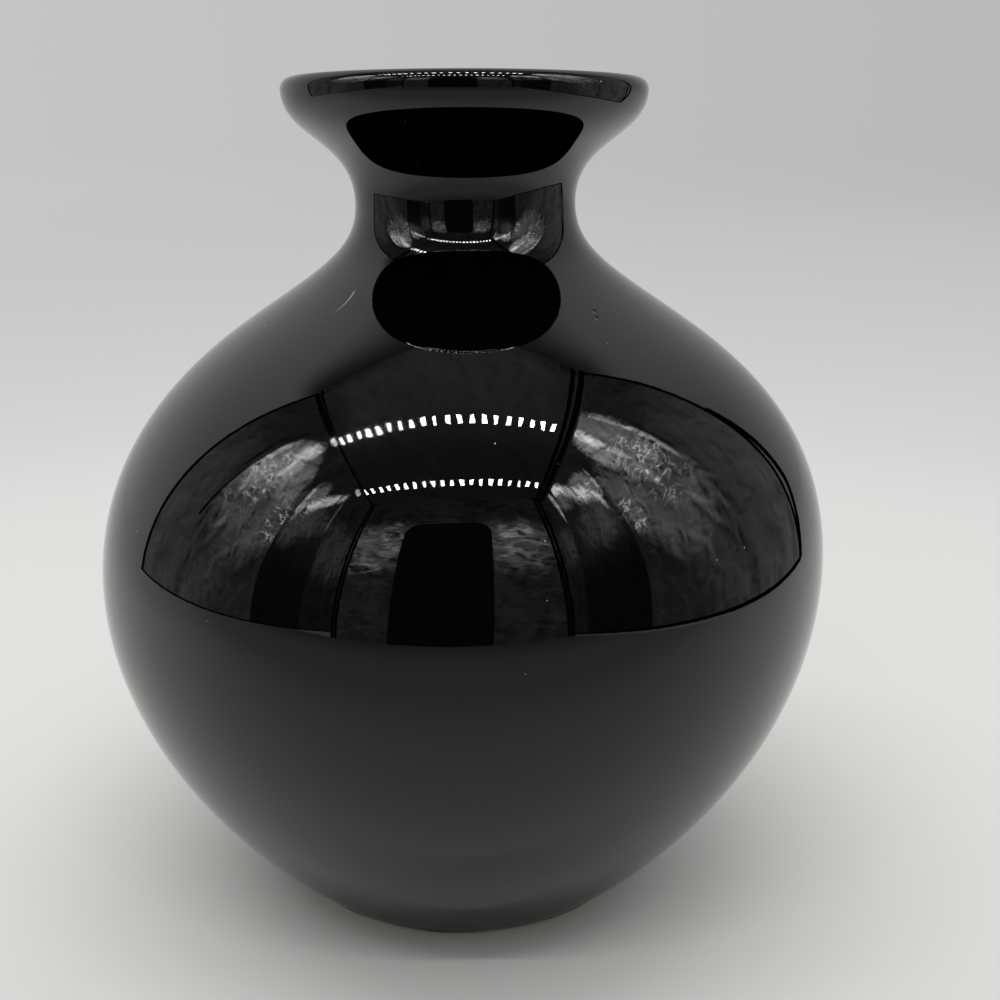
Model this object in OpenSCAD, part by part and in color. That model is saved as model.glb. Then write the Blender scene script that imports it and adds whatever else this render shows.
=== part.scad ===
// Round-bellied vase of fired clay under a mirror-black glaze. A full belly stands
// on a small turned foot, and a waisted neck opens into a flared mouth with a
// rolled lip. The vase stands on the XY plane with its axis on Z, in millimetres.
// The outline is drawn once, over the glaze, as four smooth curves and an arc: foot to
// belly, belly to shoulder, shoulder to neck, neck to lip, and the roll of the lip. The
// clay is the same outline set back by the thickness of the coat, and the inside
// follows it at the thickness of the wall.

/* [Overall] */
// Height from the table to the crest of the lip
vase_h = 165; // [150:0.5:185]
// Widest diameter of the belly, over the glaze
belly_d = 148; // [130:1:165]
// Height of the widest place of the belly
belly_z = 69; // [60:0.5:80]

/* [Foot] */
// Outer diameter of the bare foot on the table
foot_d = 71; // [60:0.5:84]
// Width of the flat ring that the vase stands on
foot_ring_w = 6; // [3:0.5:10]
// Depth of the hollow turned under the base
recess_h = 3; // [1:0.25:5]
// Sideways run of the hollow's sloping edge
recess_slope = 4; // [1:0.25:8]
// Height of the bare clay below the edge of the glaze
bare_h = 1.2; // [0.4:0.1:3]
// Angle at which the wall leaves the foot, above the table
foot_angle = 42; // [36:0.5:55]

/* [Shoulder] */
// Drop from the waist of the neck to where the wall turns from round to hollow
shoulder_drop = 21.1; // [17:0.1:26]
// Diameter at that place, over the glaze
shoulder_d = 83.2; // [76:0.1:92]
// Slope of the wall at that place, above the table
shoulder_angle = 33.9; // [28:0.1:40]

/* [Neck and mouth] */
// Diameter of the neck at its waist, over the glaze
neck_d = 43.6; // [36:0.1:52]
// Drop from the crest of the lip to the waist of the neck
mouth_h = 23.4; // [20:0.1:30]
// Diameter over the lip
rim_d = 71.2; // [62:0.1:80]
// Radius of the rolled lip
lip_r = 2.2; // [1.6:0.1:3.2]
// Slope of the wall where the outside runs into the lip, above the table
flare_angle = 88; // [70:0.5:90]
// Slope of the wall where the inside leaves the lip, above the table
funnel_angle = 52; // [45:0.5:62]

/* [Fullness of the outline] */
// How far the wall holds its slope on leaving the foot
foot_reach = 6.8; // [4:0.2:14]
// How far the belly holds upright below its widest place
belly_reach_down = 36.4; // [28:0.1:42]
// How far the belly holds upright above its widest place
belly_reach_up = 29.1; // [24:0.1:36]
// How far the shoulder holds its slope downwards
shoulder_reach_down = 13.9; // [8:0.1:20]
// How far the shoulder holds its slope upwards
shoulder_reach_up = 15.9; // [10:0.1:20]
// How far the neck holds upright below its waist
neck_reach_down = 8.5; // [6:0.1:12]
// How far the neck holds upright above its waist
neck_reach_up = 12.1; // [8:0.1:14]
// How far the outside holds its slope below the lip
flare_reach = 9.1; // [5:0.1:11]
// How far the inside holds its slope below the lip
funnel_reach = 7; // [4:0.1:10]
// How far the throat holds upright above the waist
throat_reach = 9; // [6:0.1:12]

/* [Walls] */
// Thickness of the clay wall
wall_t = 4.5; // [3.5:0.1:6]
// Thickness of the clay floor over the hollow of the foot
floor_t = 7; // [5:0.25:10]
// Thickness of each coat of glaze
glaze_t = 0.5; // [0.3:0.05:0.9]
// Height on the outside, opposite the place where the inner wall turns into the floor
bowl_z = 26; // [22:0.5:34]
// How far the inner wall holds its slope into that turn
bowl_reach = 13; // [8:0.5:16]
// How far the floor holds level from its middle
floor_reach = 31; // [22:0.5:38]

/* [Hidden] */
$fn = 160;

// Steps along each curve, and the angle of a step round the lip
belly_steps = 28;
crown_steps = 18;
mouth_steps = 14;
bowl_steps = 14;
lip_step = 10;

// Halvings when a place on a curve is sought by its height
halvings = 30;

// Places on the outline
belly_r = belly_d / 2;
neck_r = neck_d / 2;
neck_z = vase_h - mouth_h;
foot_r = foot_d / 2;
glaze_edge = [foot_r + bare_h / tan(foot_angle), bare_h];
shoulder = [shoulder_d / 2, neck_z - shoulder_drop];
lip_mid = [rim_d / 2 - lip_r, vase_h - lip_r];

// Slopes of the wall at the foot, at the shoulder and at both sides of the lip
foot_dir = [cos(foot_angle), sin(foot_angle)];
shoulder_dir = [-cos(shoulder_angle), sin(shoulder_angle)];
flare_dir = [cos(flare_angle), sin(flare_angle)];
funnel_dir = [cos(funnel_angle), sin(funnel_angle)];

// Where the flare outside and the funnel inside touch the roll of the lip
flare_top = lip_mid - lip_r * left_of(flare_dir);
funnel_top = lip_mid + lip_r * left_of(funnel_dir);

// The whole wall from glaze to glaze, and what it leaves inside
full_t = wall_t + 2 * glaze_t;
throat_r = neck_r - full_t;
floor_z = recess_h + floor_t + glaze_t;

// The outline's curves, each as its end, two handles and other end
low_curve = [
    glaze_edge,
    glaze_edge + foot_reach * foot_dir,
    [belly_r, belly_z - belly_reach_down],
    [belly_r, belly_z]
];
crown_curve = [
    [belly_r, belly_z],
    [belly_r, belly_z + belly_reach_up],
    shoulder - shoulder_reach_down * shoulder_dir,
    shoulder
];
hollow_curve = [
    shoulder,
    shoulder + shoulder_reach_up * shoulder_dir,
    [neck_r, neck_z - neck_reach_down],
    [neck_r, neck_z]
];
flare_curve = [
    [neck_r, neck_z],
    [neck_r, neck_z + neck_reach_up],
    flare_top - flare_reach * flare_dir,
    flare_top
];

// The inside's own curves: the funnel of the mouth, and the bowl over the floor
funnel_curve = [
    funnel_top,
    funnel_top - funnel_reach * funnel_dir,
    [throat_r, neck_z + throat_reach],
    [throat_r, neck_z]
];
bowl_from = place_at(low_curve, bowl_z);
bowl_dir = curve_dir(low_curve, bowl_from);
bowl_top = curve_point(low_curve, bowl_from) + full_t * left_of(bowl_dir);
bowl_curve = [
    bowl_top,
    bowl_top - bowl_reach * bowl_dir,
    [floor_reach, floor_z],
    [0, floor_z]
];

// The underside, from the middle of the hollow to the outer edge of the foot
underside = [
    [0, recess_h],
    [foot_r - foot_ring_w - recess_slope, recess_h],
    [foot_r - foot_ring_w, 0],
    [foot_r, 0]
];

// A direction turned a quarter to its left
function left_of(v) = [-v[1], v[0]];

// Point on a cubic curve, from 0 at its start to 1 at its end
function curve_point(c, t) =
    pow(1 - t, 3) * c[0] + 3 * pow(1 - t, 2) * t * c[1] + 3 * (1 - t) * t * t * c[2] + pow(t, 3) * c[3];

// Unit direction of a cubic curve
function curve_dir(c, t) =
    let (run = pow(1 - t, 2) * (c[1] - c[0]) + 2 * (1 - t) * t * (c[2] - c[1]) + t * t * (c[3] - c[2]))
    run / norm(run);

// Place on a rising curve where it reaches a height
function place_at(c, z, low = 0, high = 1, left = halvings) =
    let (mid = (low + high) / 2)
    left == 0 ? mid :
    curve_point(c, mid)[1] < z ? place_at(c, z, mid, high, left - 1) : place_at(c, z, low, mid, left - 1);

// Points along a cubic curve, set to its left by a distance
function set_curve(c, set, steps, from = 0, to = 1) = [
    for (i = [0 : steps])
        let (t = from + (to - from) * i / steps)
        curve_point(c, t) + set * left_of(curve_dir(c, t))
];

// Points round the roll of the lip between two angles, set into it by a distance
function lip_arc(from, to, set) =
    let (steps = ceil((to - from) / lip_step))
    [
        for (i = [0 : steps])
            let (a = from + (to - from) * i / steps)
            lip_mid + (lip_r - set) * [cos(a), sin(a)]
    ];

// A list without its first entry, for joining runs that share a point
function rest_of(list) = [for (i = [1 : len(list) - 1]) list[i]];

// A list from its end to its start
function backwards(list) = [for (i = [len(list) - 1 : -1 : 0]) list[i]];

// The outside from the edge of the glaze to the crest of the lip, set into the wall
function outside(set) = concat(
    set_curve(low_curve, set, belly_steps),
    rest_of(set_curve(crown_curve, set, crown_steps)),
    rest_of(set_curve(hollow_curve, set, mouth_steps)),
    rest_of(set_curve(flare_curve, set, mouth_steps)),
    rest_of(lip_arc(flare_angle - 90, 90, set))
);

// The inside from the crest of the lip to the middle of the floor, set into the wall
function inside(set) = concat(
    lip_arc(90, funnel_angle + 90, set),
    rest_of(set_curve(funnel_curve, set, mouth_steps)),
    rest_of(set_curve(hollow_curve, full_t - set, mouth_steps, 1, 0)),
    rest_of(set_curve(crown_curve, full_t - set, crown_steps, 1, 0)),
    rest_of(set_curve(low_curve, full_t - set, belly_steps, 1, bowl_from)),
    rest_of(set_curve(bowl_curve, set, bowl_steps))
);

// Fired clay: wall, floor, rolled lip and turned foot in one piece, bare only at the foot
module clay_body() {
    color([0.66, 0.57, 0.43])
        rotate_extrude()
            polygon(concat(outside(glaze_t), rest_of(inside(glaze_t)), underside));
}

// Black glaze over the outside, from just above the foot to the crest of the lip
module outer_glaze() {
    color([0.02, 0.02, 0.02])
        rotate_extrude()
            polygon(concat(outside(0), backwards(outside(glaze_t))));
}

// Black glaze that seals the inside, from the crest of the lip down over the floor
module liner_glaze() {
    color([0.03, 0.03, 0.03])
        rotate_extrude()
            polygon(concat(inside(0), backwards(inside(glaze_t))));
}

clay_body();
outer_glaze();
liner_glaze();
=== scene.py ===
# %% [markdown]
# # A mirror-black vase on a pale table
#
# The vase is thrown clay under a thick black glaze: a round belly on a small turned foot,
# a waisted neck, and a flared mouth with a rolled lip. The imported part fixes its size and
# its place. This lesson dresses that part. It turns smooth meshes on the same outline,
# gives each its finish, and then sets the light, because a mirror-black pot shows little
# of its own colour and much of what stands around it.

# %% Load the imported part
import math
import random

import bpy
from mathutils import Matrix, Vector


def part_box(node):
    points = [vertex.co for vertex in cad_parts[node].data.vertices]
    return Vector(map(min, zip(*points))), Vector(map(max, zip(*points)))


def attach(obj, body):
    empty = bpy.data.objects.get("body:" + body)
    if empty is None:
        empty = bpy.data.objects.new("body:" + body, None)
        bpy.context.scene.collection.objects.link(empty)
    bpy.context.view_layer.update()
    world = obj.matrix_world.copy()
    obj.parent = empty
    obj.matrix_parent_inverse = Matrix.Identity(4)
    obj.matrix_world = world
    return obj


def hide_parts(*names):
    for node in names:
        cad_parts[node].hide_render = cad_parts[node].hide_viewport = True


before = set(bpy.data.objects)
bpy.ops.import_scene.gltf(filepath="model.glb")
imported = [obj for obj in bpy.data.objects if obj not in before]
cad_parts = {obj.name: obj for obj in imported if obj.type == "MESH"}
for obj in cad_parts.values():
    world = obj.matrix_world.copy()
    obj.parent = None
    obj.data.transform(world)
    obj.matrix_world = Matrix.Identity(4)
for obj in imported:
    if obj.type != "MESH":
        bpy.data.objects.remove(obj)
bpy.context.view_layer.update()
print("CAD nodes:", ", ".join(sorted(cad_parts)))

# %% [markdown]
# ## The outline
#
# A pot off the wheel is one line swung round an axis. The line could be a handful of
# points under a subdivision surface, but a mirror shows every small swelling that this
# leaves. So it is drawn as a pen tool draws it, with four Bezier curves over the glaze:
# foot to belly, belly to shoulder, shoulder to neck, and neck to lip. A handle says how
# far the wall keeps its direction before it bends, and where two curves meet they share a
# slope and bend alike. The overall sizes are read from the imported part.

# %% Sizes of the outline
MM = 0.001
glaze_low, glaze_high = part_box("outer_glaze")
vase_h = glaze_high.z
belly_r = (glaze_high.x - glaze_low.x) / 2
bare_h = glaze_low.z
belly_z = 69 * MM
foot_r = 35.5 * MM
neck_r = 21.8 * MM
mouth_h = 23.4 * MM
neck_z = vase_h - mouth_h
shoulder_r = 41.6 * MM
shoulder_drop = 21.1 * MM
shoulder_z = neck_z - shoulder_drop
rim_r = 35.6 * MM
lip_r = 2.2 * MM
foot_slope = math.radians(42)
shoulder_slope = math.radians(33.9)
flare_slope = math.radians(88)
funnel_slope = math.radians(52)
glaze_t = 0.5 * MM
wall_t = 5.5 * MM
print(f"vase {vase_h / MM:.1f} mm tall, belly {2 * belly_r / MM:.1f} mm, bare foot {bare_h / MM:.1f} mm")

# %% Curves of the outline
foot_reach = 6.8 * MM
belly_reach_down, belly_reach_up = 36.4 * MM, 29.1 * MM
shoulder_reach_down, shoulder_reach_up = 13.9 * MM, 15.9 * MM
neck_reach_down, neck_reach_up = 8.5 * MM, 12.1 * MM
flare_reach = 9.1 * MM


def left_of(v):
    return Vector((-v.y, v.x))


def heading(angle):
    return Vector((math.cos(angle), math.sin(angle)))


upright = Vector((0, 1))
up_foot = heading(foot_slope)
up_shoulder = heading(math.pi - shoulder_slope)
up_flare = heading(flare_slope)
glaze_edge = Vector((foot_r + bare_h / math.tan(foot_slope), bare_h))
belly = Vector((belly_r, belly_z))
shoulder = Vector((shoulder_r, shoulder_z))
neck = Vector((neck_r, neck_z))
lip_middle = Vector((rim_r - lip_r, vase_h - lip_r))
flare_top = lip_middle - lip_r * left_of(up_flare)

low_curve = [
    glaze_edge,
    glaze_edge + foot_reach * up_foot,
    belly - belly_reach_down * upright,
    belly,
]
crown_curve = [
    belly,
    belly + belly_reach_up * upright,
    shoulder - shoulder_reach_down * up_shoulder,
    shoulder,
]
hollow_curve = [
    shoulder,
    shoulder + shoulder_reach_up * up_shoulder,
    neck - neck_reach_down * upright,
    neck,
]
flare_curve = [
    neck,
    neck + neck_reach_up * upright,
    flare_top - flare_reach * up_flare,
    flare_top,
]

# %% [markdown]
# ## Lines set into the wall
#
# Clay and glaze are layers of one wall, so their lines are the outline moved sideways.
# Solidify would do that for a whole mesh, but it copies every face of the outside to the
# inside, where nobody sees them. Moving the line itself lets the face that is not seen have
# fewer points. Points stand close together where the light is mirrored, closest round the
# lip.

# %% Helpers that walk along a line
FINE, COARSE = 1.2 * MM, 4 * MM
FINE_LIP, COARSE_LIP = 0.2 * MM, 0.8 * MM
HALVINGS = 30
SAME_POINT = 1e-7


def curve_point(curve, t):
    a, b, c, d = curve
    return (1 - t) ** 3 * a + 3 * (1 - t) ** 2 * t * b + 3 * (1 - t) * t * t * c + t ** 3 * d


def curve_heading(curve, t):
    a, b, c, d = curve
    run = (1 - t) ** 2 * (b - a) + 2 * (1 - t) * t * (c - b) + t * t * (d - c)
    return run.normalized()


def place_at(curve, height):
    """Place on a rising curve where it reaches a height, sought by halving."""
    low, high = 0, 1
    for _ in range(HALVINGS):
        middle = (low + high) / 2
        if curve_point(curve, middle).y < height:
            low = middle
        else:
            high = middle
    return middle


def walk(curve, inset, spacing, start=0, end=1):
    """Points along a curve, set to its left, about spacing apart."""
    run = sum((b - a).length for a, b in zip(curve, curve[1:])) * abs(end - start)
    steps = math.ceil(run / spacing)
    places = [start + (end - start) * i / steps for i in range(steps + 1)]
    return [curve_point(curve, t) + inset * left_of(curve_heading(curve, t)) for t in places]


def walk_arc(middle, radius, start, end, spacing):
    steps = math.ceil(abs(end - start) * radius / spacing)
    return [middle + radius * heading(start + (end - start) * i / steps) for i in range(steps + 1)]


def chain(*runs):
    """Joins runs of points, without the point that two neighbours share."""
    line = list(runs[0])
    for run in runs[1:]:
        line += run[1:] if (run[0] - line[-1]).length < SAME_POINT else run
    return line


# %% Outside and inside lines
quarter = math.pi / 2
throat_r = neck_r - wall_t
funnel_reach, throat_reach = 7 * MM, 9 * MM
bowl_z, floor_z = 26 * MM, 10.5 * MM
bowl_reach, floor_reach = 13 * MM, 31 * MM

up_funnel = heading(funnel_slope)
funnel_top = lip_middle + lip_r * left_of(up_funnel)
funnel_curve = [
    funnel_top,
    funnel_top - funnel_reach * up_funnel,
    Vector((throat_r, neck_z + throat_reach)),
    Vector((throat_r, neck_z)),
]
bowl_place = place_at(low_curve, bowl_z)
up_bowl = curve_heading(low_curve, bowl_place)
bowl_top = curve_point(low_curve, bowl_place) + wall_t * left_of(up_bowl)
bowl_curve = [
    bowl_top,
    bowl_top - bowl_reach * up_bowl,
    Vector((floor_reach, floor_z)),
    Vector((0, floor_z)),
]


def outside(inset, spacing=FINE, lip_spacing=FINE_LIP):
    """From the edge of the glaze at the foot to the crest of the lip."""
    return chain(
        walk(low_curve, inset, spacing),
        walk(crown_curve, inset, spacing),
        walk(hollow_curve, inset, spacing),
        walk(flare_curve, inset, spacing),
        walk_arc(lip_middle, lip_r - inset, flare_slope - quarter, quarter, lip_spacing),
    )


def inside(inset, spacing=FINE, lip_spacing=FINE_LIP):
    """From the crest of the lip to the middle of the floor."""
    return chain(
        walk_arc(lip_middle, lip_r - inset, quarter, funnel_slope + quarter, lip_spacing),
        walk(funnel_curve, inset, spacing),
        walk(hollow_curve, wall_t - inset, spacing, 1, 0),
        walk(crown_curve, wall_t - inset, spacing, 1, 0),
        walk(low_curve, wall_t - inset, spacing, 1, bowl_place),
        walk(bowl_curve, inset, spacing),
    )


print("points outside:", len(outside(0)), "inside:", len(inside(0)))

# %% [markdown]
# ## Turning on the wheel
#
# This is Blender's potter's wheel. A plane is merged into a single vertex, the vertex is
# extruded along the line, and a Screw modifier with no rise swings the line round the Z
# axis. Spin would do the same, only slower for a line of so many points. Where the line
# comes back to its start, and where it ends on the axis, points fall on each other: Merge
# by Distance closes the seam and the poles, and then the normals are made to face out.

# %% The wheel
TURN_STEPS = 240
MERGE_WITHIN = 0.002 * MM
SHARP_FROM = math.radians(40)


def turn(name, line):
    bpy.ops.object.select_all(action="DESELECT")
    bpy.ops.mesh.primitive_plane_add(size=foot_r)
    piece = bpy.context.object
    piece.name = piece.data.name = name
    bpy.ops.object.mode_set(mode="EDIT")
    bpy.ops.mesh.merge(type="CENTER")
    bpy.ops.transform.translate(value=(line[0].x, 0, line[0].y))
    for here, there in zip(line, line[1:]):
        step = (there.x - here.x, 0, there.y - here.y)
        bpy.ops.mesh.extrude_region_move(TRANSFORM_OT_translate={"value": step})
    bpy.ops.object.mode_set(mode="OBJECT")
    wheel = piece.modifiers.new("wheel", "SCREW")
    wheel.steps = wheel.render_steps = TURN_STEPS
    bpy.ops.object.modifier_apply(modifier=wheel.name)
    bpy.ops.object.mode_set(mode="EDIT")
    bpy.ops.mesh.select_all(action="SELECT")
    bpy.ops.mesh.remove_doubles(threshold=MERGE_WITHIN)
    bpy.ops.mesh.normals_make_consistent(inside=False)
    bpy.ops.object.mode_set(mode="OBJECT")
    bpy.ops.object.shade_smooth_by_angle(angle=SHARP_FROM)
    print(name, "has", len(piece.data.polygons), "faces")
    return piece


# %% [markdown]
# ## The coats of glaze
#
# The black coat outside runs from just above the foot to the crest of the lip, where it
# meets the coat inside. Molten glaze draws itself into a round bead at its lower edge, so
# the line goes round a half circle there. The coat is a closed ring of a line: out along
# the face that is seen, and back along the hidden one against the clay.

# %% Turn the outer coat
edge_spacing = 0.08 * MM
seen = outside(0)
hidden = outside(glaze_t, COARSE, COARSE_LIP)[::-1]
edge_middle = (seen[0] + hidden[-1]) / 2
edge_start = foot_slope + quarter
round_edge = walk_arc(edge_middle, glaze_t / 2, edge_start, edge_start + math.pi, edge_spacing)
outer_glaze = turn("black_coat_outside", chain(seen, hidden, round_edge))

# %% Turn the inner coat
hidden = inside(glaze_t, COARSE, COARSE_LIP)[::-1]
liner_glaze = turn("black_coat_inside", chain(hidden, inside(0)))

# %% [markdown]
# ## The clay
#
# Under the glaze is one lump of fired clay. Bare clay shows only at the foot: a flat ring
# with edges that the sponge has rounded, and a shallow hollow with the rings that the
# turning tool left. Rounded corners could be bevelled on the mesh, but on a turned piece
# it is simpler to bend the line, and the tool's rings are a ripple of the same line.

# %% Line of the foot
ring_w = 6 * MM
recess_h = 3 * MM
recess_slope = 4 * MM
recess_r = foot_r - ring_w - recess_slope
sponge_r = 0.6 * MM
corner_pull, corner_steps = 0.4, 4
tool_pitch, tool_depth = 2.4 * MM, 0.1 * MM
tool_steps = 8


def rounded(before, corner, after, reach):
    """Bends a corner of a line into a curve that starts and ends at reach from it."""
    into = corner - reach * (corner - before).normalized()
    out = corner + reach * (after - corner).normalized()
    bend = [into, corner.lerp(into, corner_pull), corner.lerp(out, corner_pull), out]
    return walk(bend, 0, reach / corner_steps)


clay_outside = outside(glaze_t, COARSE, COARSE_LIP)
clay_inside = inside(glaze_t, COARSE, COARSE_LIP)
hollow_edge = Vector((recess_r, recess_h))
ring_inner = Vector((foot_r - ring_w, 0))
ring_outer = Vector((foot_r, 0))
rings = math.floor(recess_r / tool_pitch)
hollow = []
for i in range(tool_steps * rings + 1):
    ripple = tool_depth * (1 - math.cos(2 * math.pi * i / tool_steps)) / 2
    hollow.append(Vector((i * tool_pitch / tool_steps, recess_h - ripple)))
foot_line = chain(
    hollow,
    rounded(hollow[-1], hollow_edge, ring_inner, sponge_r),
    rounded(hollow_edge, ring_inner, ring_outer, sponge_r),
    rounded(ring_inner, ring_outer, clay_outside[0], sponge_r),
)
print("the tool left", rings, "rings under the foot")

# %% Turn the clay body
clay_body = turn("fired_clay_body", chain(foot_line, clay_outside, clay_inside))

# %% [markdown]
# ## Marks of the hand
#
# No thrown pot is quite round: this one leans a little towards its right shoulder, its
# mouth dips to the left, and its wall swells by fractions of a millimetre. All that would
# be hard to push by hand and keep smooth. A Lattice is a cage of a few points that bends
# all that is inside it, so all three layers bend alike and stay seated on each other.

# %% Shape the cage
lean_mm = [0, 0, 0, 0.1, 0.8, 1.7, 1.3, 0.4, 0.6]
swell = 0.08 * MM
mouth_dip = math.radians(0.35)
dip_from = 7
cage_w = 2.2 * belly_r
cage_points = 5
uneven = random.Random(7)

bpy.ops.object.select_all(action="DESELECT")
bpy.ops.object.add(type="LATTICE", location=(0, 0, vase_h / 2))
cage = bpy.context.object
cage.scale = (cage_w, cage_w, vase_h)
cage.data.points_u = cage.data.points_v = cage_points
cage.data.points_w = len(lean_mm)
for i, point in enumerate(cage.data.points):
    level = i // cage_points ** 2
    point.co_deform.x += lean_mm[level] * MM / cage_w
    if level:
        point.co_deform.x += uneven.uniform(-swell, swell) / cage_w
        point.co_deform.y += uneven.uniform(-swell, swell) / cage_w
    if level >= dip_from:
        point.co_deform.z += point.co.x * cage_w * math.tan(mouth_dip) / vase_h
bpy.context.view_layer.update()
print("the cage leans by", max(lean_mm), "mm at most")

# %% Bend the layers in the cage
for piece in [outer_glaze, liner_glaze, clay_body]:
    bpy.context.view_layer.objects.active = piece
    bend = piece.modifiers.new("lean", "LATTICE")
    bend.object = cage
    bpy.ops.object.modifier_apply(modifier=bend.name)
    print(piece.name, "is now", round(max(v.co.z for v in piece.data.vertices) / MM, 2), "mm high")
bpy.data.objects.remove(cage)

# %% [markdown]
# The edge of the glaze creeps up and down a little where it ran before it froze. The points
# near the edge go into a vertex group, the group's weight is smoothed into the wall, and a
# Displace modifier lifts and drops that band by a soft cloud.

# %% Let the glaze edge creep
creep_h, creep_size = 0.9 * MM, 14 * MM
edge_band = bare_h + 0.5 * MM
band_softening = 6

bpy.context.view_layer.objects.active = outer_glaze
outer_glaze.select_set(True)
band = outer_glaze.vertex_groups.new(name="edge")
band.add([v.index for v in outer_glaze.data.vertices if v.co.z < edge_band], 1, "REPLACE")
bpy.ops.object.mode_set(mode="EDIT")
bpy.ops.mesh.select_all(action="SELECT")
bpy.ops.object.vertex_group_smooth(group_select_mode="ALL", factor=0.5, repeat=band_softening)
bpy.ops.object.mode_set(mode="OBJECT")
cloud = bpy.data.textures.new("glaze_creep", "CLOUDS")
cloud.noise_scale = creep_size
creep = outer_glaze.modifiers.new("creep", "DISPLACE")
creep.texture = cloud
creep.texture_coords = "LOCAL"
creep.direction = "Z"
creep.strength = creep_h
creep.vertex_group = band.name
bpy.ops.object.modifier_apply(modifier=creep.name)
outer_glaze.vertex_groups.clear()
print("lowest glaze at", round(min(v.co.z for v in outer_glaze.data.vertices) / MM, 2), "mm")

# %% [markdown]
# ## Nodes in short
#
# Every finish below is a small net of shader nodes. These helpers add one node with its
# settings and inputs in one line: an input is either a value or another node's output.


# %% Node helpers
def add(tree, kind, inputs=None, **settings):
    node = tree.nodes.new("ShaderNode" + kind)
    for name, value in settings.items():
        setattr(node, name, value)
    for socket, value in (inputs or {}).items():
        if isinstance(value, bpy.types.NodeSocket):
            tree.links.new(value, node.inputs[socket])
        else:
            node.inputs[socket].default_value = value
    return node


def calc(tree, operation, a, b=0.0, c=0.0):
    return add(tree, "Math", {0: a, 1: b, 2: c}, operation=operation).outputs[0]


def hypotenuse(tree, a, b):
    return calc(tree, "SQRT", calc(tree, "MULTIPLY_ADD", a, a, calc(tree, "MULTIPLY", b, b)))


def spread(tree, value, low, high, out_low, out_high):
    """Maps a range of values onto another one, with soft ends."""
    ends = {"Value": value, 1: low, 2: high, 3: out_low, 4: out_high}
    return add(tree, "MapRange", ends, interpolation_type="SMOOTHSTEP").outputs[0]


def split(tree, vector):
    return add(tree, "SeparateXYZ", {0: vector}).outputs


def own_axes(tree, vector, location, rotation, scale):
    """A vector as it is in axes with a place, a turn and a size of their own."""
    axes = {"Location": location, "Rotation": rotation, "Scale": scale}
    return add(tree, "Mapping", {"Vector": vector, **axes}, vector_type="TEXTURE").outputs[0]


# %% Texture and finish helpers
def noise(tree, place, scale, detail, **more):
    inputs = {"Vector": place, "Scale": scale, "Detail": detail, **more}
    return add(tree, "TexNoise", inputs).outputs[0]


def cells(tree, place, scale):
    """Distance from the middle of the nearest of many scattered cells."""
    return add(tree, "TexVoronoi", {"Vector": place, "Scale": scale}).outputs["Distance"]


def blend(tree, factor, colour, other):
    return add(tree, "Mix", {0: factor, 6: colour, 7: other}, data_type="RGBA").outputs[2]


def bump(tree, height, depth, below=None, strength=1, **settings):
    """Normals of a surface that rises by up to depth, laid over another bump below it."""
    inputs = {"Height": height, "Strength": strength, "Distance": depth}
    if below is not None:
        inputs["Normal"] = below
    return add(tree, "Bump", inputs, **settings).outputs[0]


def new_finish(name):
    finish = bpy.data.materials.new(name)
    finish.use_nodes = True
    tree = finish.node_tree
    return finish, tree, tree.nodes["Principled BSDF"], add(tree, "TexCoord").outputs["Object"]


# %% [markdown]
# ## Black glaze
#
# A mirror-black glaze is a dark glass: hardly any colour comes back from inside it, and
# what is seen is the four per cent or so that its surface mirrors, more at a flat angle.
# An index of refraction of 1.5 gives just that. What makes it look fired and not computed
# is small: a skin with a faint orange-peel ripple, wiped patches that are a little duller,
# a warmer black where the coat pulled thin, a few grains of dust on what faces up, two
# pinholes, and a short curved scratch on the shoulder. The scratch could be cut into the
# mesh, but it is thinner than a face, so it is drawn where the surface meets a part of a
# thin ring.

# %% Marks on the glaze
scratch_middle = (-27.7 * MM, -21.6 * MM, 125.3 * MM)
scratch_turn = [math.radians(a) for a in (34.6, 3, -40.5)]
scratch_r, scratch_w = 8.7 * MM, 0.30 * MM
scratch_half = math.radians(26)
scratch_faint, scratch_bright = 0.2, 1.4
pinholes = [
    ((23.8 * MM, -29.4 * MM, 123.5 * MM), 0.9 * MM),
    ((24.2 * MM, -31 * MM, 122.6 * MM), 0.8 * MM),
]


def scratch_mark(tree, place):
    """1 along a short arc and 0 off it, found in axes in which the arc's circle has radius 1."""
    x, y, z = split(tree, own_axes(tree, place, scratch_middle, scratch_turn, [scratch_r] * 3))
    beside = calc(tree, "SUBTRACT", hypotenuse(tree, x, y), 1)
    off_line = hypotenuse(tree, beside, z)
    line = spread(tree, off_line, 0, scratch_w / scratch_r, 1, 0)
    ended = calc(tree, "MULTIPLY", line, spread(tree, x, math.cos(scratch_half), 1, 0, 1))
    reach = math.sin(scratch_half)
    return calc(tree, "MULTIPLY", ended, spread(tree, y, -reach, reach, scratch_faint, scratch_bright))


def pinhole_mark(tree, place):
    """1 in the middle of each pinhole, falling to 0 at its rim."""
    mark = 0.0
    for middle, radius in pinholes:
        away = add(tree, "VectorMath", {0: place, 1: middle}, operation="DISTANCE").outputs["Value"]
        mark = calc(tree, "MAXIMUM", spread(tree, away, 0, radius, 1, 0), mark)
    return mark


print("marks on the glaze: a scratch and", len(pinholes), "pinholes")

# %% Dust on the glaze
grain_scale, grain_core, grain_rim = 150, 0.012, 0.03
dust_slides, dust_rests = -0.05, 0.15


def dust_mark(tree, place):
    """1 on small grains, where the surface faces up enough to hold them, and 0 elsewhere."""
    grains = spread(tree, cells(tree, place, grain_scale), grain_core, grain_rim, 1, 0)
    facing_up = split(tree, add(tree, "NewGeometry").outputs["Normal"])[2]
    return calc(tree, "MULTIPLY", grains, spread(tree, facing_up, dust_slides, dust_rests, 0, 1))


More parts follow.
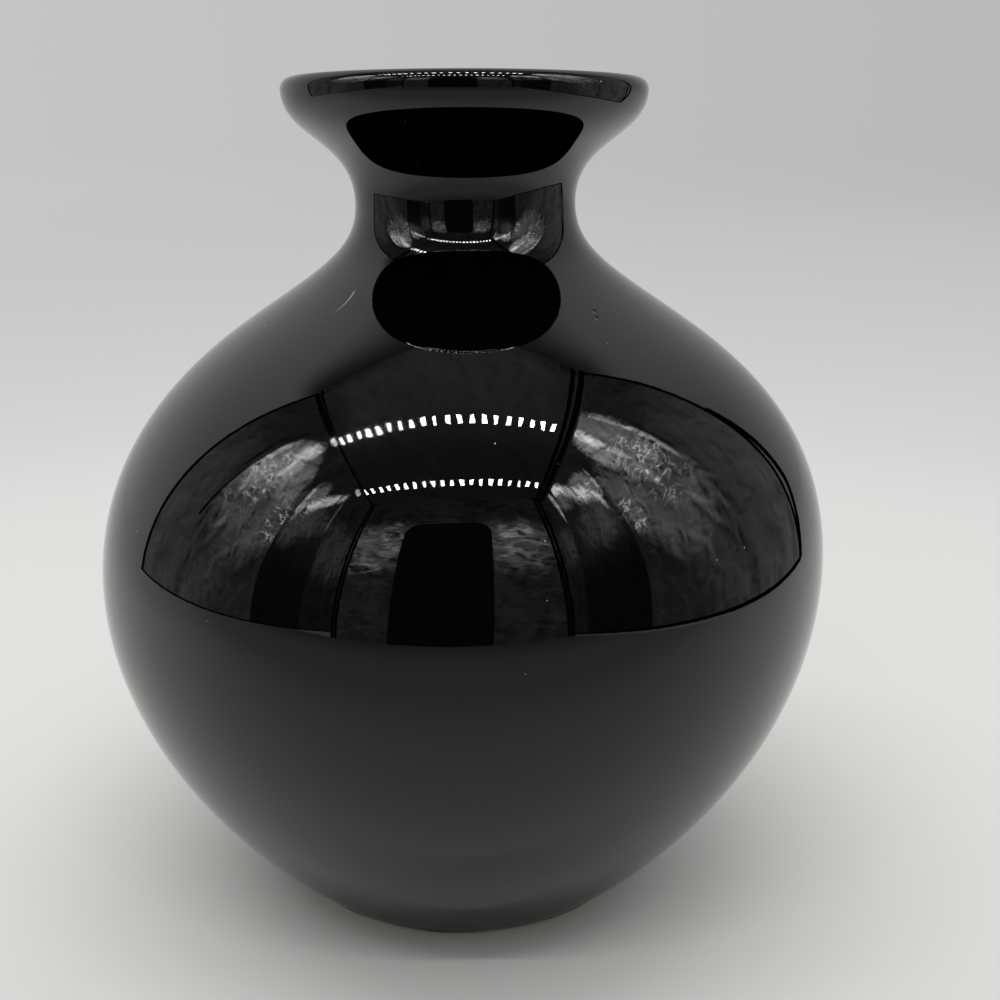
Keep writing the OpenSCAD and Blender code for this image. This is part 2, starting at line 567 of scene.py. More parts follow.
# %% Glaze finish
deep_black = (0.0004, 0.0004, 0.0005, 1)
soft_black = (0.0010, 0.0009, 0.0009, 1)
thin_brown = (0.0060, 0.0042, 0.0026, 1)
dust_grey = (0.36, 0.36, 0.35, 1)
dust_rough = 0.8
wipe_low, wipe_high, wipe_dulls = 0.45, 0.75, 0.035
drift_h, peel_h, pit_h = 0.006 * MM, 0.0016 * MM, 0.10 * MM
glaze_ior = 1.5


def glaze_finish(name, dull, thin_low, thin_high):
    """Glaze with a roughness of dull, browner from thin_high down to thin_low."""
    finish, tree, shader, place = new_finish(name)
    pale = calc(tree, "MAXIMUM", dust_mark(tree, place), scratch_mark(tree, place))
    thin = spread(tree, split(tree, place)[2], thin_low, thin_high, 1, 0)
    black = blend(tree, noise(tree, place, scale=38, detail=4), deep_black, soft_black)
    colour = blend(tree, pale, blend(tree, thin, black, thin_brown), dust_grey)
    tree.links.new(colour, shader.inputs["Base Color"])

    wipes = noise(tree, place, scale=22, detail=6, Distortion=1.2)
    gloss = spread(tree, wipes, wipe_low, wipe_high, dull, dull + wipe_dulls)
    roughness = calc(tree, "MAXIMUM", gloss, calc(tree, "MULTIPLY", pale, dust_rough))
    tree.links.new(roughness, shader.inputs["Roughness"])

    drift = bump(tree, noise(tree, place, scale=95, detail=2), drift_h)
    peel = bump(tree, noise(tree, place, scale=900, detail=1), peel_h, drift)
    pits = bump(tree, pinhole_mark(tree, place), pit_h, peel, invert=True)
    tree.links.new(pits, shader.inputs["Normal"])
    shader.inputs["IOR"].default_value = glaze_ior
    print(name, "finish has", len(tree.nodes), "nodes")
    return finish


outer_black = glaze_finish("black_glaze", dull=0.012, thin_low=1.2 * MM, thin_high=4 * MM)
liner_black = glaze_finish("liner_glaze", dull=0.03, thin_low=9 * MM, thin_high=40 * MM)
outer_glaze.data.materials.append(outer_black)
liner_glaze.data.materials.append(liner_black)

# %% [markdown]
# ## Fired clay
#
# Bare stoneware is buff, matt and slightly gritty. Fine noise gives the grit, larger noise
# the uneven toast of the kiln, and a wave along the radius the marks of the turning tool.

# %% Clay finish
brown_buff = (0.36, 0.27, 0.17, 1)
pale_buff = (0.50, 0.41, 0.28, 1)
iron_brown = (0.14, 0.09, 0.05, 1)
speck_scale, speck_core, speck_rim, speck_cover = 700, 0.05, 0.14, 0.75
grit_low, grit_high = 0.3, 0.7
least_rough, most_rough = 0.78, 0.95
score_h, grit_h = 0.03 * MM, 0.05 * MM

finish, tree, shader, place = new_finish("fired_clay")
buff = blend(tree, noise(tree, place, scale=60, detail=5), brown_buff, pale_buff)
specks = spread(tree, cells(tree, place, speck_scale), speck_core, speck_rim, speck_cover, 0)
tree.links.new(blend(tree, specks, buff, iron_brown), shader.inputs["Base Color"])
grit = noise(tree, place, scale=1800, detail=3)
roughness = spread(tree, grit, grit_low, grit_high, least_rough, most_rough)
tree.links.new(roughness, shader.inputs["Roughness"])
waves = {"Vector": place, "Scale": 130, "Distortion": 0.6}
tool = add(tree, "TexWave", waves, wave_type="RINGS", rings_direction="Z").outputs[1]
scored = bump(tree, tool, score_h, strength=0.5)
tree.links.new(bump(tree, grit, grit_h, scored, strength=0.6), shader.inputs["Normal"])
clay_body.data.materials.append(finish)
print("fired_clay finish has", len(tree.nodes), "nodes")

# %% [markdown]
# ## Seat the layers on the frame
#
# The two coats and the clay each stand for one node of the imported part. Each rides on the
# part's one body.

# %% Tie the pieces to the frame
for piece, node_name, slot_name in [
    (outer_glaze, "outer_glaze", "black_glaze"),
    (liner_glaze, "liner_glaze", "liner_glaze"),
    (clay_body, "clay_body", "fired_clay"),
]:
    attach(piece, "root")
    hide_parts(node_name)
    print(piece.name, "stands for", node_name)

# %% [markdown]
# ## The table
#
# A white sheet lies under the vase. Close by it is plain matt white, so that it takes the
# vase's shadow. Further out it fades, for rays from the camera and from gloss, into the
# pale tone of the world behind it, so the floor has no end and no edge. That glow is painted
# light, brighter towards the vase, and painted shade, a little deeper towards the right.
# Close to the foot the sheet is darker in the mirror of the wall than it is to the eye: a
# soft dark crescent of painted contact shadow is laid there for gloss only. An image of an
# image in black glaze is too dim to see, so the sheet is left dark there, as is everything
# else around the vase but the lamps.


# %% Which rays see what
def seen_ray(tree):
    """1 for rays that show the backdrop: from the camera, from gloss and through glass."""
    path = add(tree, "LightPath").outputs
    glossy = calc(tree, "MAXIMUM", path["Is Glossy Ray"], path["Is Transmission Ray"])
    return calc(tree, "MAXIMUM", path["Is Camera Ray"], glossy)


def seen_once(tree):
    """1 for what is mirrored once at most, and 0 for the image of an image."""
    between_one_and_two = 1.5
    return calc(tree, "LESS_THAN", add(tree, "LightPath").outputs["Glossy Depth"], between_one_and_two)


def position(tree):
    """Where a ray meets a surface."""
    return add(tree, "NewGeometry").outputs["Position"]


def bare_finish(name):
    """A finish with no shader yet, and the socket that takes one."""
    finish = bpy.data.materials.new(name)
    finish.use_nodes = True
    tree = finish.node_tree
    tree.nodes.remove(tree.nodes["Principled BSDF"])
    return finish, tree, tree.nodes["Material Output"].inputs[0]


# %% White paper
backdrop_level, backdrop_turn = 0.525, 0.10
turn_reach = 5.5
near_gain = 0.068
paper_white = (0.8, 0.8, 0.788, 1)
fade_near, fade_far = 0.25, 0.50
under_shade, under_near, under_far = 0.45, 0.034, 0.053
under_front, under_back = -0.036, -0.016

paper, tree, surface = bare_finish("white_paper")
place = position(tree)
across, along, _ = split(tree, place)
away = add(tree, "VectorMath", {0: place}, operation="LENGTH").outputs["Value"]
# The glow is painted light, brighter towards the vase, and painted shade, a little deeper towards the
# right.
level = calc(tree, "ADD", calc(tree, "DIVIDE", near_gain, away), backdrop_level)
turned = spread(tree, away, 0, turn_reach, 0, -backdrop_turn)
level = calc(tree, "MULTIPLY_ADD", calc(tree, "DIVIDE", across, away), turned, level)
matt = add(tree, "BsdfDiffuse", {"Color": paper_white}).outputs[0]
glow = add(tree, "Emission", {"Strength": level}).outputs[0]
far = calc(tree, "MULTIPLY", spread(tree, away, fade_near, fade_far, 0, 1), seen_ray(tree))
mixed = add(tree, "MixShader", {0: far, 1: matt, 2: glow}).outputs[0]

# Painted contact shadow: a soft dark crescent on the sheet in front of the foot, seen only in gloss.
mirrored = add(tree, "LightPath").outputs["Is Glossy Ray"]
under = calc(tree, "MULTIPLY", mirrored, spread(tree, away, under_near, under_far, under_shade, 0))
under = calc(tree, "MULTIPLY", under, spread(tree, along, under_front, under_back, 1, 0))
dark = calc(tree, "MAXIMUM", under, calc(tree, "SUBTRACT", 1, seen_once(tree)))
shaded = add(tree, "MixShader", {0: dark, 1: mixed}).outputs[0]
tree.links.new(shaded, surface)

# %% Lay the sheet
sheet_size, sheet_drop = 60, 0.05 * MM
bpy.ops.object.select_all(action="DESELECT")
bpy.ops.mesh.primitive_plane_add(size=sheet_size, location=(0, 0, -sheet_drop))
sheet = bpy.context.object
sheet.name = "white_sheet"
sheet.data.materials.append(paper)
print("sheet of", sheet_size, "m, as bright as the backdrop from", fade_far, "m on")

# %% [markdown]
# The world is both the backdrop and the soft light. Light comes mostly from the bright room
# behind the tent, and some from above. Low down in front there is little of it, because the
# front cloth stands there. Rays that show the backdrop get its own tone instead: painted
# light a little brighter overhead, and painted shade a little deeper towards the right.

# %% Set the world
side_light, back_gain, top_light = 0.71, 0.58, 0.78
low_sky, high_sky = 0.35, 0.8
overhead, overhead_from = 0.13, 0.4
world = bpy.data.worlds.new("pale_room")
bpy.context.scene.world = world
world.use_nodes = True
tree = world.node_tree
tree.nodes.clear()
across, along, up = split(tree, add(tree, "TexCoord").outputs["Generated"])
# Painted shade a little deeper towards the right, and painted light a little brighter overhead.
backdrop = calc(tree, "MULTIPLY_ADD", across, -backdrop_turn, backdrop_level)
backdrop = calc(tree, "ADD", backdrop, spread(tree, up, overhead_from, high_sky, 0, overhead))
backdrop = calc(tree, "MULTIPLY", backdrop, seen_once(tree))
low_light = calc(tree, "MULTIPLY_ADD", along, back_gain, side_light)
high = spread(tree, up, low_sky, high_sky, 0, 1)
ambient = add(tree, "Mix", {0: high, 2: low_light, 3: top_light}).outputs[0]
level = add(tree, "Mix", {0: seen_ray(tree), 2: ambient, 3: backdrop}).outputs[0]
glow = add(tree, "Background", {"Color": (1, 1, 1, 1), "Strength": level})
add(tree, "OutputWorld", {0: glow.outputs[0]})
print("backdrop", backdrop_level, "light from the sides", side_light, "and from above", top_light)

# %% [markdown]
# ## The light tent
#
# The vase stands in a small tent of silvered cloth, open behind it: a ceiling with two rows
# of small lamps, two side walls, and a front wall with a slot for the camera. Two long area
# lamps do the lighting and cast the soft shadow. The tent itself is there to be mirrored, so
# its cloth glows only for gloss and is hidden from the camera and from the shadows.

# %% Sizes of the tent
tent_left, tent_right = -0.52, 0.39
tent_front, tent_top = -0.70, 0.90
tent_w, tent_mid = tent_right - tent_left, (tent_left + tent_right) / 2
left_low, right_low = 0.03, 0.012
left_back, right_back, top_back = 0.155, 0.175, 0.165
row_places = [(-0.175, -0.497, 0.300), (-0.565, -0.506, 0.305)]
row_drop = 0.006
row_z = tent_top - row_drop


def only_mirrored(obj):
    """Leaves an object to be seen in reflections and nowhere else."""
    obj.visible_camera = False
    obj.visible_diffuse = False
    obj.visible_transmission = False
    obj.visible_shadow = False


print("tent", round(tent_w, 2), "m wide,", tent_top, "m high")

# %% Long lamps
row_power = [1.4, 1.9]
lamp_w = 0.02
for i, ((y, x_low, x_high), power) in enumerate(zip(row_places, row_power)):
    lamp = bpy.data.lights.new(f"row_lamp_{i + 1}", "AREA")
    lamp.shape = "RECTANGLE"
    lamp.size = x_high - x_low
    lamp.size_y = lamp_w
    lamp.energy = power
    holder = bpy.data.objects.new(lamp.name, lamp)
    holder.location = ((x_low + x_high) / 2, y, row_z)
    holder.visible_glossy = False
    holder.visible_camera = False
    bpy.context.scene.collection.objects.link(holder)
    print(lamp.name, "is", round(lamp.size, 3), "m long")

# %% [markdown]
# In the mirror each row is a string of bright beads. One bead is a small plane, an Array
# modifier repeats it along the row, and its glow is strong enough to stay white after the
# glaze has kept back all but four per cent. The beads also show in the image of an image,
# as a fine line under the neck, and glow more for that.


# %% Glow of the beads
def glow_finish(name, strength):
    """A finish that only glows, and its shader, whose strength can be replaced by a pattern."""
    finish, tree, surface = bare_finish(name)
    glow = add(tree, "Emission", {"Strength": strength})
    tree.links.new(glow.outputs[0], surface)
    finish.cycles.emission_sampling = "NONE"
    return finish, tree, glow


bead_level, bead_lift = 55, 2.5
bead_glow, tree, glow = glow_finish("lamp_bead", bead_level)
lifted = spread(tree, seen_once(tree), 0, 1, bead_level * bead_lift, bead_level)
tree.links.new(lifted, glow.inputs["Strength"])

# %% Rows of bright beads
bead_count = 20
bead_size = (0.015, 0.044)
bead_uneven = 0.004
for i, (y, x_low, x_high) in enumerate(row_places):
    bpy.ops.object.select_all(action="DESELECT")
    bpy.ops.mesh.primitive_plane_add(size=1, location=(x_low, y, row_z))
    row = bpy.context.object
    row.name = f"lamp_row_{i + 1}"
    row.scale = (*bead_size, 1)
    bpy.ops.object.transform_apply(location=False, rotation=False, scale=True)
    repeat = row.modifiers.new("row", "ARRAY")
    repeat.count = bead_count
    repeat.use_relative_offset = False
    repeat.use_constant_offset = True
    repeat.constant_offset_displace = ((x_high - x_low) / (bead_count - 1), 0, 0)
    bpy.ops.object.modifier_apply(modifier=repeat.name)
    bpy.ops.object.mode_set(mode="EDIT")
    bpy.ops.mesh.select_all(action="SELECT")
    bpy.ops.transform.vertex_random(offset=bead_uneven, uniform=1, normal=0, seed=i)
    bpy.ops.object.mode_set(mode="OBJECT")
    row.data.materials.append(bead_glow)
    only_mirrored(row)
    print(row.name, "has", len(row.data.polygons), "beads")

# %% [markdown]
# The silvered cloth hangs in widths. Each width has a low glow, and throws the lamps back in
# soft lenses and in hot streaks below the ends of the rows. It is a little creased: a fold
# is light on one side and dark on the other, which a noise gives, less the same noise a
# little further on. Where the foil is crumpled, thin bent lines catch the light: they are
# the crests of a ridged noise, and a softer noise breaks them into flecks. Real folds under
# real lamps would do all that too, but a mirror needs only their picture.

# %% Patterns of the cloth
fold_step = (0.2, 0.1, 0)
fold_bend = 0.8
crest_low, crest_high = 0.6, 2.2
fleck_low, fleck_high, fleck_faint, fleck_bright = 0.4, 0.65, 0.15, 1.5


def lens(tree, flat, spot):
    """1 in the middle of an ellipse and 0 at its rim: place, half size and tilt are in spot."""
    across, up, half_across, half_up, tilt = spot
    turned = (0, 0, math.radians(tilt))
    own = own_axes(tree, flat, (across, up, 0), turned, (half_across, half_up, 1))
    return add(tree, "TexGradient", {0: own}, gradient_type="SPHERICAL").outputs[1]


def folds(tree, flat, size):
    """Light and dark sides of soft folds about size apart, around 0."""
    step = [size * share for share in fold_step]
    beyond = add(tree, "VectorMath", {0: flat, 1: step}).outputs[0]
    here = noise(tree, flat, scale=1 / size, detail=2, Distortion=fold_bend)
    there = noise(tree, beyond, scale=1 / size, detail=2, Distortion=fold_bend)
    return calc(tree, "SUBTRACT", here, there)


def ridges(tree, flat):
    """Bright bent ridges of crumpled foil, 0 in the hollows and about 1 on a ridge."""
    shape = {"Scale": 36, "Detail": 3, "Roughness": 0.65, "Lacunarity": 2.3}
    crests = {"Offset": 0.9, "Gain": 1.5, "Distortion": 0.6}
    inputs = {"Vector": flat, **shape, **crests}
    sharp = add(tree, "TexNoise", inputs, noise_type="RIDGED_MULTIFRACTAL").outputs[0]
    flecks = noise(tree, flat, scale=20, detail=4, Roughness=0.6)
    caught = spread(tree, flecks, fleck_low, fleck_high, fleck_faint, fleck_bright)
    return calc(tree, "MULTIPLY", spread(tree, sharp, crest_low, crest_high, 0, 1), caught)


def stretched(tree, flat, factors):
    return add(tree, "VectorMath", {0: flat, 1: (*factors, 1)}, operation="MULTIPLY").outputs[0]


# %% Silvered cloth
broad_size, fine_size = 0.16, 0.05
broad_depth, fine_depth, foil_depth = 1.6, 1.3, 0.5
fray = 3
foil_edge = 0.6
darkest = 0.02


# The cloth's glow is painted light and shade of the lamps: its pools, streaks, fold sides and foil
# crests.
def painted_cloth_light(name, sides, fade, pools, crumples, stretch=(1.0, 0.7), foil=(0.75, 1.0), crease=1.0):
    """A cloth's glow. sides are its two coordinates, and its low glow fades along the second."""
    finish, tree, glow = glow_finish(name, 1)
    place = split(tree, position(tree))
    flat = add(tree, "CombineXYZ", {0: place[sides[0]], 1: place[sides[1]]}).outputs[0]
    hung = stretched(tree, flat, stretch)
    broad = folds(tree, hung, broad_size)
    fine = folds(tree, hung, fine_size)
    creased = calc(tree, "MULTIPLY_ADD", broad, broad_depth * crease, 1)
    creased = calc(tree, "MULTIPLY_ADD", fine, fine_depth * crease, creased)

    total = spread(tree, place[sides[1]], *fade)
    frayed = calc(tree, "MULTIPLY_ADD", fine, fray, 1)
    for *spot, strength, edge in pools:
        pool = calc(tree, "MULTIPLY", lens(tree, flat, spot), frayed)
        total = calc(tree, "ADD", spread(tree, pool, 0, edge, 0, strength), total)
    if crumples:
        caught = ridges(tree, stretched(tree, flat, foil))
        creased = calc(tree, "MULTIPLY_ADD", caught, foil_depth * crease, creased)
    for *spot, strength in crumples:
        patch = spread(tree, lens(tree, flat, spot), 0, foil_edge, 0, strength)
        total = calc(tree, "MULTIPLY_ADD", caught, patch, total)
    lit = calc(tree, "MULTIPLY", calc(tree, "MAXIMUM", total, darkest), seen_once(tree))
    tree.links.new(calc(tree, "MULTIPLY", lit, creased), glow.inputs["Strength"])
    return finish


def panel(name, middle, size, turned, finish):
    bpy.ops.object.select_all(action="DESELECT")
    bpy.ops.mesh.primitive_plane_add(size=1, location=middle, rotation=turned)
    cloth = bpy.context.object
    cloth.name = name
    cloth.scale = (*size, 1)
    cloth.data.materials.append(finish)
    only_mirrored(cloth)
    return cloth


# %% [markdown]
# A width is its two edges, how its low glow fades upwards, its pools of light and where it
# is crumpled. A pool is its place and half size along the wall and upwards, its tilt in
# degrees, its glow, and how soft its edge is. A crumpled patch has no edge of its own.


# %% Hang the left wall
def hang(wall, x, low, widths):
    for i, (back, front, fade, pools, crumples) in enumerate(widths):
        name = f"{wall}_width_{i + 1}"
        silver = painted_cloth_light(name, "YZ", fade, pools, crumples)
        middle = (x, (back + front) / 2, (tent_top + low) / 2)
        panel(name, middle, (tent_top - low, back - front), (0, quarter, 0), silver)
    print(wall, "wall hangs in", len(widths), "widths")


hang("left", tent_left, left_low, [
    (left_back, -0.015, (0.35, 0.65, 0.32, 0.12), [
        (-0.008, 0.50, 0.014, 0.25, 4, -0.2, 0.8),
    ], []),
    (-0.015, -0.29, (0.12, 0.24, 0.20, 0.12), [
        (-0.070, 0.16, 0.140, 0.24, 0, 0.13, 0.8),
        (-0.160, 0.42, 0.200, 0.28, 0, 0.7, 0.6),
        (-0.185, 0.61, 0.090, 0.20, -12, 1.3, 0.4),
        (-0.105, 0.58, 0.078, 0.23, 10, 1.6, 0.3),
        (-0.145, 0.70, 0.042, 0.14, 4, 5.5, 0.8),
        (-0.135, 0.58, 0.018, 0.15, 6, 3, 0.9),
        (-0.045, 0.57, 0.016, 0.17, 8, 3, 0.8),
        (-0.160, 0.877, 0.034, 0.03, 0, 12, 0.5),
    ], [(-0.10, 0.48, 0.10, 0.20, 8, 4.5), (-0.26, 0.40, 0.06, 0.17, 0, 3.5)]),
    (-0.29, -0.50, (0.20, 0.45, 0.03, 0.12), [
        (-0.400, 0.50, 0.100, 0.12, 33, 0.35, 0.6),
        (-0.330, 0.42, 0.060, 0.13, 0, 0.5, 0.7),
        (-0.345, 0.60, 0.055, 0.13, 5, 1.4, 0.5),
        (-0.405, 0.63, 0.034, 0.21, 33, 5.5, 0.8),
        (-0.308, 0.54, 0.014, 0.14, 0, 3.2, 0.8),
        (-0.488, 0.60, 0.010, 0.18, 0, 0.8, 0.8),
    ], [(-0.33, 0.53, 0.05, 0.12, 15, 3.0)]),
    (-0.50, tent_front, (0.20, 0.30, 0.07, 0.10), [
        (-0.600, 0.44, 0.200, 0.22, 0, 0.28, 0.7),
        (-0.530, 0.85, 0.032, 0.03, 0, 7, 0.5),
    ], []),
])

# %% Hang the right wall
hang("right", tent_right, right_low, [
    (right_back, -0.005, (0.38, 0.66, 0.34, 0.13), [], []),
    (-0.005, -0.315, (0.10, 0.22, 0.17, 0.12), [
        (-0.060, 0.16, 0.150, 0.24, 0, 0.16, 0.8),
        (-0.150, 0.34, 0.170, 0.22, 0, 0.75, 0.6),
        (-0.270, 0.48, 0.070, 0.22, 0, 0.9, 0.6),
        (-0.130, 0.70, 0.125, 0.34, 2, 1.5, 0.3),
        (-0.205, 0.74, 0.050, 0.20, 3, 1.5, 0.5),
        (-0.172, 0.80, 0.034, 0.22, 3, 8, 0.7),
        (-0.152, 0.63, 0.020, 0.14, 5, 4, 0.8),
        (-0.044, 0.70, 0.013, 0.20, 5, 1.8, 0.8),
        (-0.030, 0.52, 0.014, 0.16, 0, 3, 0.8),
    ], [(-0.120, 0.47, 0.11, 0.21, 5, 5.5), (-0.285, 0.38, 0.05, 0.13, 10, 4.5)]),
    (-0.315, -0.60, (0.20, 0.45, 0.03, 0.15), [
        (-0.420, 0.46, 0.150, 0.17, 15, 0.45, 0.7),
        (-0.385, 0.66, 0.080, 0.15, 20, 2.0, 0.5),
        (-0.490, 0.745, 0.045, 0.30, 33, 5, 0.8),
        (-0.430, 0.62, 0.050, 0.09, 40, 2, 0.7),
        (-0.560, 0.72, 0.060, 0.12, 30, 1.2, 0.7),
        (-0.570, 0.86, 0.060, 0.12, 35, 5, 0.6),
        (-0.400, 0.65, 0.018, 0.07, 5, 3.5, 0.8),
        (-0.325, 0.62, 0.012, 0.13, -3, 3.2, 0.8),
        (-0.355, 0.53, 0.016, 0.10, 8, 4, 0.8),
    ], [(-0.37, 0.60, 0.07, 0.12, 15, 3.5)]),
    (-0.60, tent_front, (0.20, 0.32, 0.08, 0.12), [
        (-0.615, 0.74, 0.022, 0.26, 10, 5, 0.8),
        (-0.650, 0.47, 0.120, 0.16, 0, 0.3, 0.7),
    ], []),
])

# %% [markdown]
# The front wall and the ceiling are one cloth each. The front wall is lit most at half
# height, on both sides of the camera, and its folds are the largest. The ceiling is plain,
# and darker towards its corners: painted shade, which pools with a glow below zero give.

# %% Hang the front wall
front_pools = [
    (-0.39, 0.525, 0.26, 0.22, 0, 0.70, 0.8),
    (0.20, 0.515, 0.20, 0.23, 0, 0.75, 0.8),
    (0.14, 0.63, 0.035, 0.03, 0, 1.6, 0.8),
    (0.22, 0.60, 0.070, 0.05, 0, 1.2, 0.8),
    (0.19, 0.46, 0.110, 0.03, -25, 1.2, 0.8),
    (-0.34, 0.66, 0.090, 0.03, 25, 0.7, 0.8),
    (-0.32, 0.47, 0.070, 0.06, 15, 0.7, 0.8),
]
front_crumples = [(0.20, 0.48, 0.17, 0.22, 0, 1.5), (-0.37, 0.49, 0.17, 0.22, 0, 1.2)]
front_silver = painted_cloth_light(
    "front_silver",
    "XZ",
    (0.64, 0.72, 0.16, 0.10),
    front_pools,
    front_crumples,
    stretch=(0.6, 1.1),
    foil=(0.2, 0.5),
    crease=1.4,
)
front_middle = (tent_mid, tent_front, tent_top / 2)
panel("front_cloth", front_middle, (tent_w, tent_top), (quarter, 0, 0), front_silver)
print("front wall has", len(front_pools), "pools of light")

# %% Hang the ceiling
top_pools = [
    (tent_left, 0.00, 0.13, 0.30, 0, -0.12, 0.8),
    (-0.36, 0.175, 0.28, 0.07, 0, -0.12, 0.8),
    (0.26, 0.175, 0.25, 0.07, 0, -0.10, 0.8),
    (0.33, 0.05, 0.12, 0.25, 0, -0.09, 0.8),
]
top_fade = (-0.40, -0.05, 0.09, 0.25)
top_silver = painted_cloth_light("top_silver", "XY", top_fade, top_pools, [], stretch=(1, 1), crease=0.5)
top_middle = (tent_mid, (top_back + tent_front) / 2, tent_top)
panel("top_cloth", top_middle, (tent_w, top_back - tent_front), (0, 0, 0), top_silver)
print("ceiling has", len(top_pools), "dark corners")

# %% [markdown]
# The slot for the camera is a dark gap in the front cloth. It is a plane whose two upper
# corners are rounded with a vertex bevel.

# %% Cut the slot
slot_left, slot_right, slot_top = -0.27, 0.09, 0.66
slot_round, slot_gap = 0.07, 0.004
slot_dark = glow_finish("dark_room", darkest)[0]
slot_size = (slot_right - slot_left, slot_top)
slot_middle = ((slot_left + slot_right) / 2, tent_front + slot_gap, slot_top / 2)
slot = panel("camera_slot", slot_middle, slot_size, (quarter, 0, 0), slot_dark)
bpy.ops.object.transform_apply(location=True, rotation=True, scale=True)
bpy.ops.object.mode_set(mode="EDIT")
bpy.ops.mesh.select_all(action="DESELECT")
bpy.ops.object.mode_set(mode="OBJECT")
for corner in slot.data.vertices:
    corner.select = corner.co.z > slot_top / 2
bpy.ops.object.mode_set(mode="EDIT")
bpy.ops.mesh.select_mode(type="VERT")
bpy.ops.mesh.bevel(affect="VERTICES", offset=slot_round, segments=8)
bpy.ops.object.mode_set(mode="OBJECT")
print("camera slot has", len(slot.data.vertices), "corners")

# %% [markdown]
# Dark piping is sewn along the edges of the cloth and down its seams. In the mirror it draws
# the thin black lines that show how round the belly is. Each is a cylinder laid along its
# edge, and a stout corner has two or three of them.

# %% Piping along the edges
dark_piping = glow_finish("dark_piping", 0)[0]
piping_sides = 12


def piping(name, start, end, radius):
    start, end = Vector(start), Vector(end)
    run = end - start
    bpy.ops.object.select_all(action="DESELECT")
    bpy.ops.mesh.primitive_cylinder_add(
        vertices=piping_sides,
        radius=radius,
        depth=run.length,
        location=(start + end) / 2,
        rotation=run.to_track_quat("Z", "Y").to_euler(),
    )
    edge = bpy.context.object
    edge.name = name
    edge.data.materials.append(dark_piping)
    only_mirrored(edge)


side_gap, end_gap = 0.008, 0.01
in_left, in_right = tent_left + side_gap, tent_right - side_gap
in_front, in_top = tent_front + end_gap, tent_top - end_gap
piping("top_piping_1", (0.336, top_back, in_top), (0.332, tent_front, in_top), 0.008)
piping("top_piping_2", (0.368, right_back, in_top), (0.358, tent_front, in_top), 0.011)
piping("top_left_piping", (in_left, top_back, in_top), (in_left, tent_front, in_top), 0.005)
piping("left_top_piping", (in_left, left_back, 0.855), (in_left, -0.13, 0.865), 0.010)
piping("front_piping_1", (0.318, in_front, tent_top), (0.368, in_front, 0), 0.007)
piping("front_piping_2", (0.340, in_front, tent_top), (0.385, in_front, 0), 0.007)
piping("front_piping_3", (-0.495, in_front, tent_top), (-0.498, in_front, 0), 0.006)
piping("front_piping_4", (-0.514, in_front, tent_top), (-0.516, in_front, 0), 0.006)
piping("left_back_piping", (in_left, 0.148, left_low), (in_left, 0.148, tent_top), 0.006)
piping("right_back_piping_1", (in_right, 0.172, right_low), (in_right, 0.172, tent_top), 0.0055)
piping("right_back_piping_2", (in_right, 0.202, 0.13), (in_right, 0.176, 0.36), 0.008)
piping("right_back_piping_3", (in_right, 0.175, right_low), (in_right, 0.202, 0.13), 0.008)
piping("left_seam", (in_left, -0.004, 0.24), (in_left, -0.045, 0.74), 0.004)
piping("left_hem", (in_left, left_back, left_low), (in_left, tent_front, left_low), 0.0025)
piping("right_hem", (in_right, right_back, right_low), (in_right, tent_front, right_low), 0.004)
print("lines of piping:", dark_piping.users)

# %% [markdown]
# Two soft shades are only seen in the mirror too. A card of painted shadow lies on the
# table in front of the vase and keeps the mirrored table from being one flat tone: the
# belly darkens softly upwards. A strip of painted shade behind the ceiling lets its edge
# melt into the room. Both are planes that turn clear along the Y axis, by a mix with a
# transparent shader.


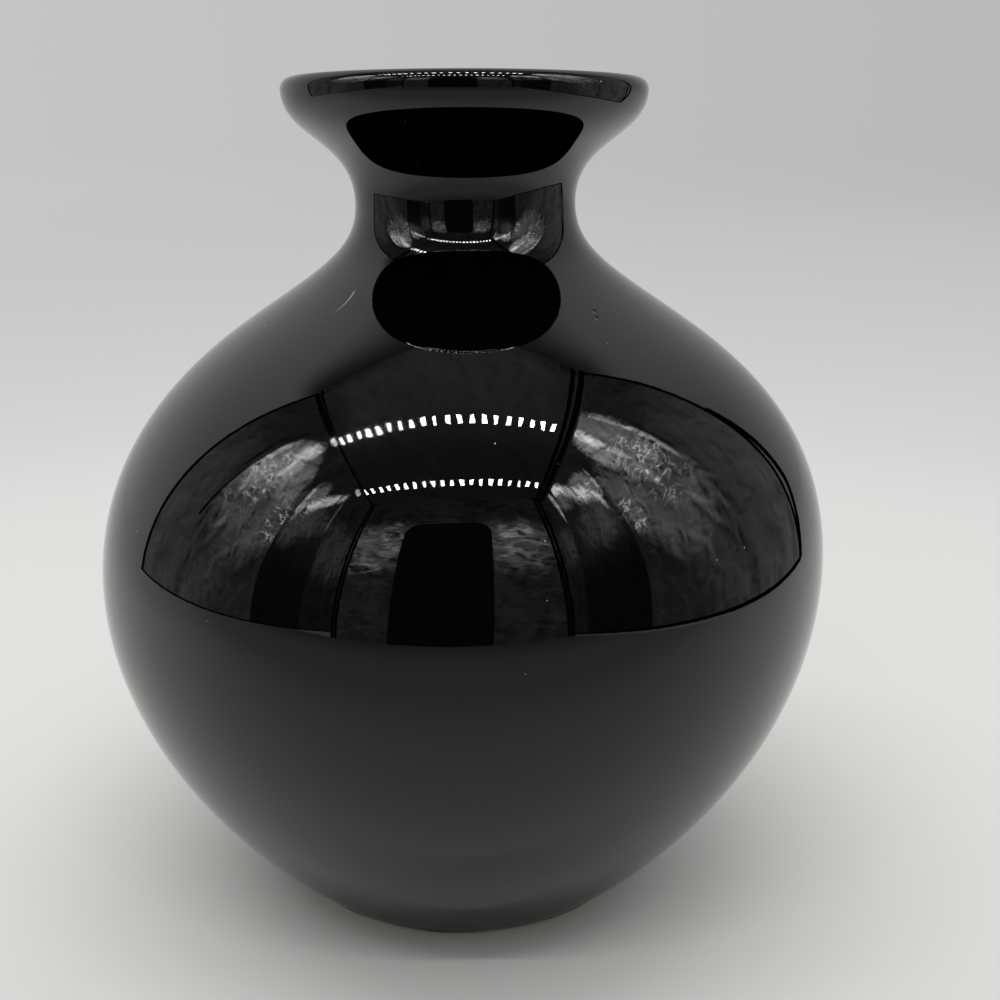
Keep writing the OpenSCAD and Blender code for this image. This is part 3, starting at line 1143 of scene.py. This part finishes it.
# %% Painted shadow card and painted shade strip
def shade(name, low, high, z, glow_range, solid, clear, taper=0.0):
    """A level plane between two corners, which fades from solid to clear in Y.

    With a taper it fades at both ends in X as well.
    """
    finish, tree, glow = glow_finish(name, 1)
    across, along, _ = split(tree, position(tree))
    level = calc(tree, "MULTIPLY", spread(tree, along, *glow_range), seen_once(tree))
    tree.links.new(level, glow.inputs["Strength"])
    cover = spread(tree, along, solid, clear, 1, 0)
    if taper:
        cover = calc(tree, "MULTIPLY", cover, spread(tree, across, low[0], low[0] + taper, 0, 1))
        cover = calc(tree, "MULTIPLY", cover, spread(tree, across, high[0] - taper, high[0], 1, 0))
    nothing = add(tree, "BsdfTransparent").outputs[0]
    faded = add(tree, "MixShader", {0: cover, 1: nothing, 2: glow.outputs[0]}).outputs[0]
    tree.links.new(faded, tree.nodes["Material Output"].inputs[0])
    middle = ((low[0] + high[0]) / 2, (low[1] + high[1]) / 2, z)
    panel(name, middle, (high[0] - low[0], high[1] - low[1]), (0, 0, 0), finish)
    print(name, "is", round(high[1] - low[1], 3), "m deep")


# A painted shadow on the table in front of the vase, seen only in the mirror.
card_past, card_back, card_z = 0.25, -0.02, 0.001
card_low, card_high = (tent_left - card_past, tent_front), (tent_right, card_back)
card_glow = (-0.65, -0.25, 0.22, 0.42)
card_solid = -0.24
shade("painted_shadow_card", card_low, card_high, card_z, card_glow, card_solid, card_back)
# A painted shade behind the back edge of the ceiling, seen only in the mirror.
strip_back, strip_taper = 0.40, 0.16
strip_low, strip_high = (tent_left - strip_taper, top_back), (tent_right + strip_taper, strip_back)
strip_glow = (top_back, strip_back, 0.10, 0.3)
shade("painted_shade_strip", strip_low, strip_high, tent_top, strip_glow, top_back, strip_back, strip_taper)

# %% [markdown]
# ## The camera
#
# The camera stands close, a little under the lip, and looks down by fifteen degrees. The
# lens is a normal one, so near things look large: the belly hides much of the foot.

# %% Place the camera
pitch, yaw, roll = math.radians(15.01), math.radians(1.58), math.radians(0.31)
stand = Vector((0.0005, -0.2648, 0.1514))
optics = bpy.data.cameras.new("camera")
optics.sensor_width = 36
optics.lens = 46.8
camera = bpy.data.objects.new("camera", optics)
bpy.context.scene.collection.objects.link(camera)
looking = Matrix.Rotation(-yaw, 4, "Z") @ Matrix.Rotation(quarter - pitch, 4, "X")
aim = looking @ Matrix.Rotation(roll, 4, "Z")
camera.matrix_world = Matrix.Translation(stand) @ aim
bpy.context.scene.camera = camera
bpy.context.scene.view_settings.view_transform = "Standard"
print("camera", round(-stand.y, 3), "m in front of the vase,", round(stand.z, 3), "m up")
